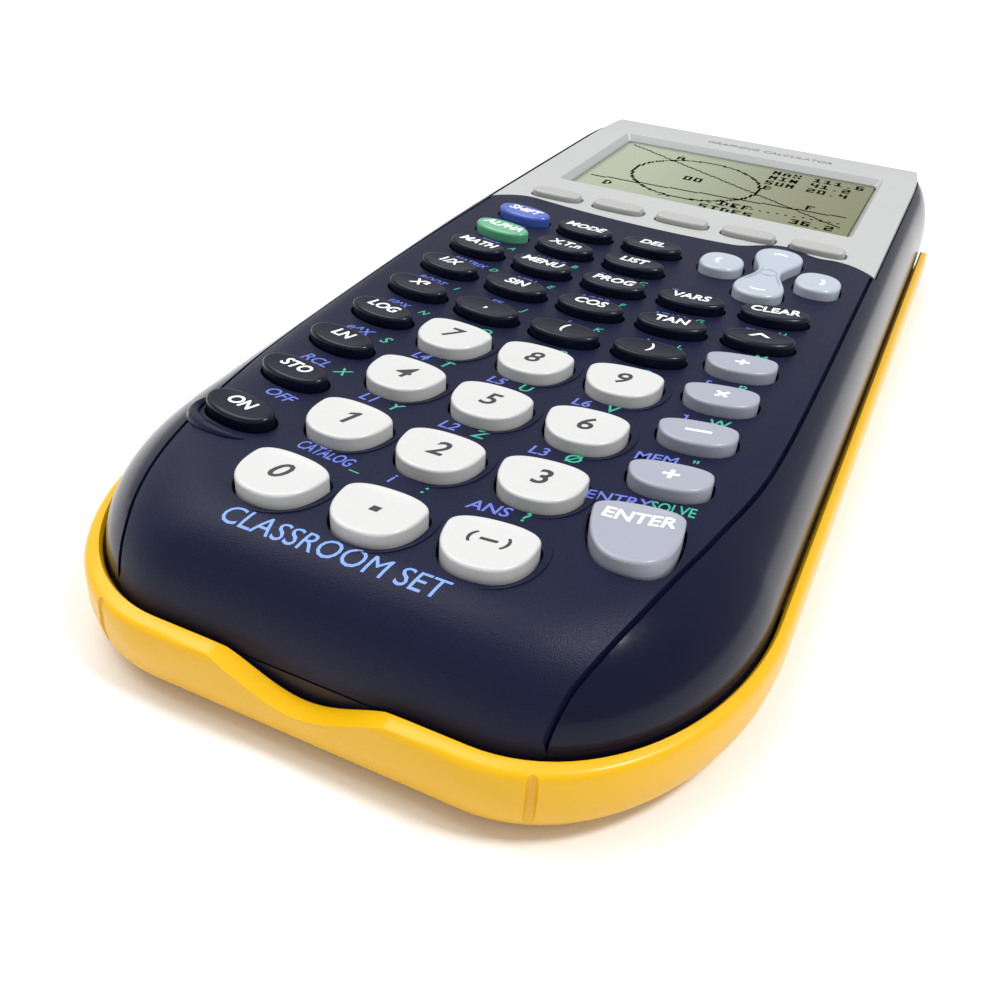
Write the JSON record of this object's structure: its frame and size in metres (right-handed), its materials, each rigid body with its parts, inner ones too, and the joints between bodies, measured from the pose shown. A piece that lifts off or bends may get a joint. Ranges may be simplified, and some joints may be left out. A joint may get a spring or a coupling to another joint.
{
  "type": "graphing calculator",
  "caption": "Navy graphing calculator with white number keys, a light grey screen frame and a yellow slide cover stored on its back.",
  "frame": {"origin": "middle of the footprint, on the surface that the stored slide cover rests on", "axes": "+Y towards the screen end, +Z out of the keys, +X to the right when the screen is read"},
  "size_m": [0.0848, 0.1906, 0.0218],
  "materials": {
    "navy_plastic": "moulded navy plastic, fine leather-like grain on the keypad field, satin on the cheeks",
    "silver_plastic": "satin light grey plastic",
    "yellow_plastic": "satin-gloss yellow plastic",
    "black_plastic": "glossy near-black key plastic",
    "white_plastic": "satin off-white key plastic",
    "lavender_plastic": "satin lavender-grey key plastic",
    "arrow_plastic": "light bluish grey key plastic",
    "blue_plastic": "glossy blue key plastic",
    "green_plastic": "glossy light green key plastic",
    "screen_window": "clear window over the display",
    "display_glass": "grey-green display panel",
    "board_laminate": "green circuit board laminate",
    "membrane_rubber": "grey silicone key membrane",
    "cell_steel": "bare steel battery cans",
    "port_metal": "metal port shell"
  },
  "bodies": {
    "calculator_body": {"front_case": "navy_plastic", "screen_bezel": "silver_plastic", "screen_lens": "screen_window", "lcd_module": "display_glass", "rear_case": "navy_plastic", "battery_door": "navy_plastic", "circuit_board": "board_laminate", "keypad_membrane": "membrane_rubber", "battery_cells": "cell_steel", "port_block": "port_metal"},
    "slide_cover": {"slide_cover": "yellow_plastic"},
    "shift_key": {"shift_key": "blue_plastic"},
    "alpha_key": {"alpha_key": "green_plastic"},
    "mode_key": {"mode_key": "black_plastic"},
    "delete_key": {"delete_key": "black_plastic"},
    "variable_key": {"variable_key": "black_plastic"},
    "list_key": {"list_key": "black_plastic"},
    "math_key": {"math_key": "black_plastic"},
    "apps_key": {"apps_key": "black_plastic"},
    "program_key": {"program_key": "black_plastic"},
    "vars_key": {"vars_key": "black_plastic"},
    "clear_key": {"clear_key": "black_plastic"},
    "reciprocal_key": {"reciprocal_key": "black_plastic"},
    "sine_key": {"sine_key": "black_plastic"},
    "cosine_key": {"cosine_key": "black_plastic"},
    "tangent_key": {"tangent_key": "black_plastic"},
    "power_key": {"power_key": "black_plastic"},
    "square_key": {"square_key": "black_plastic"},
    "comma_key": {"comma_key": "black_plastic"},
    "open_bracket_key": {"open_bracket_key": "black_plastic"},
    "close_bracket_key": {"close_bracket_key": "black_plastic"},
    "log_key": {"log_key": "black_plastic"},
    "ln_key": {"ln_key": "black_plastic"},
    "store_key": {"store_key": "black_plastic"},
    "on_key": {"on_key": "black_plastic"},
    "seven_key": {"seven_key": "white_plastic"},
    "eight_key": {"eight_key": "white_plastic"},
    "nine_key": {"nine_key": "white_plastic"},
    "four_key": {"four_key": "white_plastic"},
    "five_key": {"five_key": "white_plastic"},
    "six_key": {"six_key": "white_plastic"},
    "one_key": {"one_key": "white_plastic"},
    "two_key": {"two_key": "white_plastic"},
    "three_key": {"three_key": "white_plastic"},
    "zero_key": {"zero_key": "white_plastic"},
    "point_key": {"point_key": "white_plastic"},
    "negate_key": {"negate_key": "white_plastic"},
    "divide_key": {"divide_key": "lavender_plastic"},
    "multiply_key": {"multiply_key": "lavender_plastic"},
    "subtract_key": {"subtract_key": "lavender_plastic"},
    "add_key": {"add_key": "lavender_plastic"},
    "enter_key": {"enter_key": "lavender_plastic"},
    "left_key": {"left_key": "arrow_plastic"},
    "right_key": {"right_key": "arrow_plastic"},
    "function_key_1": {"function_key_1": "silver_plastic"},
    "function_key_2": {"function_key_2": "silver_plastic"},
    "function_key_3": {"function_key_3": "silver_plastic"},
    "function_key_4": {"function_key_4": "silver_plastic"},
    "function_key_5": {"function_key_5": "silver_plastic"},
    "up_down_key": {"up_down_key": "arrow_plastic"}
  },
  "joints": [
    {"name": "slide_cover_slide", "type": "slide", "parent": "calculator_body", "child": "slide_cover", "axis": [0, -1, 0], "range_m": [0, 0.19]},
    {"name": "shift_key_press", "type": "slide", "parent": "calculator_body", "child": "shift_key", "axis": [0, 0, -1], "range_m": [0, 0.001], "stiffness_N_per_m": 600},
    {"name": "alpha_key_press", "type": "slide", "parent": "calculator_body", "child": "alpha_key", "axis": [0, 0, -1], "range_m": [0, 0.001], "stiffness_N_per_m": 600},
    {"name": "mode_key_press", "type": "slide", "parent": "calculator_body", "child": "mode_key", "axis": [0, 0, -1], "range_m": [0, 0.001], "stiffness_N_per_m": 600},
    {"name": "delete_key_press", "type": "slide", "parent": "calculator_body", "child": "delete_key", "axis": [0, 0, -1], "range_m": [0, 0.001], "stiffness_N_per_m": 600},
    {"name": "variable_key_press", "type": "slide", "parent": "calculator_body", "child": "variable_key", "axis": [0, 0, -1], "range_m": [0, 0.001], "stiffness_N_per_m": 600},
    {"name": "list_key_press", "type": "slide", "parent": "calculator_body", "child": "list_key", "axis": [0, 0, -1], "range_m": [0, 0.001], "stiffness_N_per_m": 600},
    {"name": "math_key_press", "type": "slide", "parent": "calculator_body", "child": "math_key", "axis": [0, 0, -1], "range_m": [0, 0.001], "stiffness_N_per_m": 600},
    {"name": "apps_key_press", "type": "slide", "parent": "calculator_body", "child": "apps_key", "axis": [0, 0, -1], "range_m": [0, 0.001], "stiffness_N_per_m": 600},
    {"name": "program_key_press", "type": "slide", "parent": "calculator_body", "child": "program_key", "axis": [0, 0, -1], "range_m": [0, 0.001], "stiffness_N_per_m": 600},
    {"name": "vars_key_press", "type": "slide", "parent": "calculator_body", "child": "vars_key", "axis": [0, 0, -1], "range_m": [0, 0.001], "stiffness_N_per_m": 600},
    {"name": "clear_key_press", "type": "slide", "parent": "calculator_body", "child": "clear_key", "axis": [0, 0, -1], "range_m": [0, 0.001], "stiffness_N_per_m": 600},
    {"name": "reciprocal_key_press", "type": "slide", "parent": "calculator_body", "child": "reciprocal_key", "axis": [0, 0, -1], "range_m": [0, 0.001], "stiffness_N_per_m": 600},
    {"name": "sine_key_press", "type": "slide", "parent": "calculator_body", "child": "sine_key", "axis": [0, 0, -1], "range_m": [0, 0.001], "stiffness_N_per_m": 600},
    {"name": "cosine_key_press", "type": "slide", "parent": "calculator_body", "child": "cosine_key", "axis": [0, 0, -1], "range_m": [0, 0.001], "stiffness_N_per_m": 600},
    {"name": "tangent_key_press", "type": "slide", "parent": "calculator_body", "child": "tangent_key", "axis": [0, 0, -1], "range_m": [0, 0.001], "stiffness_N_per_m": 600},
    {"name": "power_key_press", "type": "slide", "parent": "calculator_body", "child": "power_key", "axis": [0, 0, -1], "range_m": [0, 0.001], "stiffness_N_per_m": 600},
    {"name": "square_key_press", "type": "slide", "parent": "calculator_body", "child": "square_key", "axis": [0, 0, -1], "range_m": [0, 0.001], "stiffness_N_per_m": 600},
    {"name": "comma_key_press", "type": "slide", "parent": "calculator_body", "child": "comma_key", "axis": [0, 0, -1], "range_m": [0, 0.001], "stiffness_N_per_m": 600},
    {"name": "open_bracket_key_press", "type": "slide", "parent": "calculator_body", "child": "open_bracket_key", "axis": [0, 0, -1], "range_m": [0, 0.001], "stiffness_N_per_m": 600},
    {"name": "close_bracket_key_press", "type": "slide", "parent": "calculator_body", "child": "close_bracket_key", "axis": [0, 0, -1], "range_m": [0, 0.001], "stiffness_N_per_m": 600},
    {"name": "log_key_press", "type": "slide", "parent": "calculator_body", "child": "log_key", "axis": [0, 0, -1], "range_m": [0, 0.001], "stiffness_N_per_m": 600},
    {"name": "ln_key_press", "type": "slide", "parent": "calculator_body", "child": "ln_key", "axis": [0, 0, -1], "range_m": [0, 0.001], "stiffness_N_per_m": 600},
    {"name": "store_key_press", "type": "slide", "parent": "calculator_body", "child": "store_key", "axis": [0, 0, -1], "range_m": [0, 0.001], "stiffness_N_per_m": 600},
    {"name": "on_key_press", "type": "slide", "parent": "calculator_body", "child": "on_key", "axis": [0, 0, -1], "range_m": [0, 0.001], "stiffness_N_per_m": 600},
    {"name": "seven_key_press", "type": "slide", "parent": "calculator_body", "child": "seven_key", "axis": [0, 0, -1], "range_m": [0, 0.001], "stiffness_N_per_m": 600},
    {"name": "eight_key_press", "type": "slide", "parent": "calculator_body", "child": "eight_key", "axis": [0, 0, -1], "range_m": [0, 0.001], "stiffness_N_per_m": 600},
    {"name": "nine_key_press", "type": "slide", "parent": "calculator_body", "child": "nine_key", "axis": [0, 0, -1], "range_m": [0, 0.001], "stiffness_N_per_m": 600},
    {"name": "four_key_press", "type": "slide", "parent": "calculator_body", "child": "four_key", "axis": [0, 0, -1], "range_m": [0, 0.001], "stiffness_N_per_m": 600},
    {"name": "five_key_press", "type": "slide", "parent": "calculator_body", "child": "five_key", "axis": [0, 0, -1], "range_m": [0, 0.001], "stiffness_N_per_m": 600},
    {"name": "six_key_press", "type": "slide", "parent": "calculator_body", "child": "six_key", "axis": [0, 0, -1], "range_m": [0, 0.001], "stiffness_N_per_m": 600},
    {"name": "one_key_press", "type": "slide", "parent": "calculator_body", "child": "one_key", "axis": [0, 0, -1], "range_m": [0, 0.001], "stiffness_N_per_m": 600},
    {"name": "two_key_press", "type": "slide", "parent": "calculator_body", "child": "two_key", "axis": [0, 0, -1], "range_m": [0, 0.001], "stiffness_N_per_m": 600},
    {"name": "three_key_press", "type": "slide", "parent": "calculator_body", "child": "three_key", "axis": [0, 0, -1], "range_m": [0, 0.001], "stiffness_N_per_m": 600},
    {"name": "zero_key_press", "type": "slide", "parent": "calculator_body", "child": "zero_key", "axis": [0, 0, -1], "range_m": [0, 0.001], "stiffness_N_per_m": 600},
    {"name": "point_key_press", "type": "slide", "parent": "calculator_body", "child": "point_key", "axis": [0, 0, -1], "range_m": [0, 0.001], "stiffness_N_per_m": 600},
    {"name": "negate_key_press", "type": "slide", "parent": "calculator_body", "child": "negate_key", "axis": [0, 0, -1], "range_m": [0, 0.001], "stiffness_N_per_m": 600},
    {"name": "divide_key_press", "type": "slide", "parent": "calculator_body", "child": "divide_key", "axis": [0, 0, -1], "range_m": [0, 0.001], "stiffness_N_per_m": 600},
    {"name": "multiply_key_press", "type": "slide", "parent": "calculator_body", "child": "multiply_key", "axis": [0, 0, -1], "range_m": [0, 0.001], "stiffness_N_per_m": 600},
    {"name": "subtract_key_press", "type": "slide", "parent": "calculator_body", "child": "subtract_key", "axis": [0, 0, -1], "range_m": [0, 0.001], "stiffness_N_per_m": 600},
    {"name": "add_key_press", "type": "slide", "parent": "calculator_body", "child": "add_key", "axis": [0, 0, -1], "range_m": [0, 0.001], "stiffness_N_per_m": 600},
    {"name": "enter_key_press", "type": "slide", "parent": "calculator_body", "child": "enter_key", "axis": [0, 0, -1], "range_m": [0, 0.001], "stiffness_N_per_m": 600},
    {"name": "left_key_press", "type": "slide", "parent": "calculator_body", "child": "left_key", "axis": [0, 0, -1], "range_m": [0, 0.001], "stiffness_N_per_m": 600},
    {"name": "right_key_press", "type": "slide", "parent": "calculator_body", "child": "right_key", "axis": [0, 0, -1], "range_m": [0, 0.001], "stiffness_N_per_m": 600},
    {"name": "function_key_1_press", "type": "slide", "parent": "calculator_body", "child": "function_key_1", "axis": [0, 0, -1], "range_m": [0, 0.001], "stiffness_N_per_m": 600},
    {"name": "function_key_2_press", "type": "slide", "parent": "calculator_body", "child": "function_key_2", "axis": [0, 0, -1], "range_m": [0, 0.001], "stiffness_N_per_m": 600},
    {"name": "function_key_3_press", "type": "slide", "parent": "calculator_body", "child": "function_key_3", "axis": [0, 0, -1], "range_m": [0, 0.001], "stiffness_N_per_m": 600},
    {"name": "function_key_4_press", "type": "slide", "parent": "calculator_body", "child": "function_key_4", "axis": [0, 0, -1], "range_m": [0, 0.001], "stiffness_N_per_m": 600},
    {"name": "function_key_5_press", "type": "slide", "parent": "calculator_body", "child": "function_key_5", "axis": [0, 0, -1], "range_m": [0, 0.001], "stiffness_N_per_m": 600},
    {"name": "up_down_key_rock", "type": "hinge", "parent": "calculator_body", "child": "up_down_key", "pos_m": [0.0204, 0.0111, 0.0175], "axis": [1, 0, 0], "range_deg": [-4, 4], "stiffness_Nm_per_rad": 0.3}
  ]
}
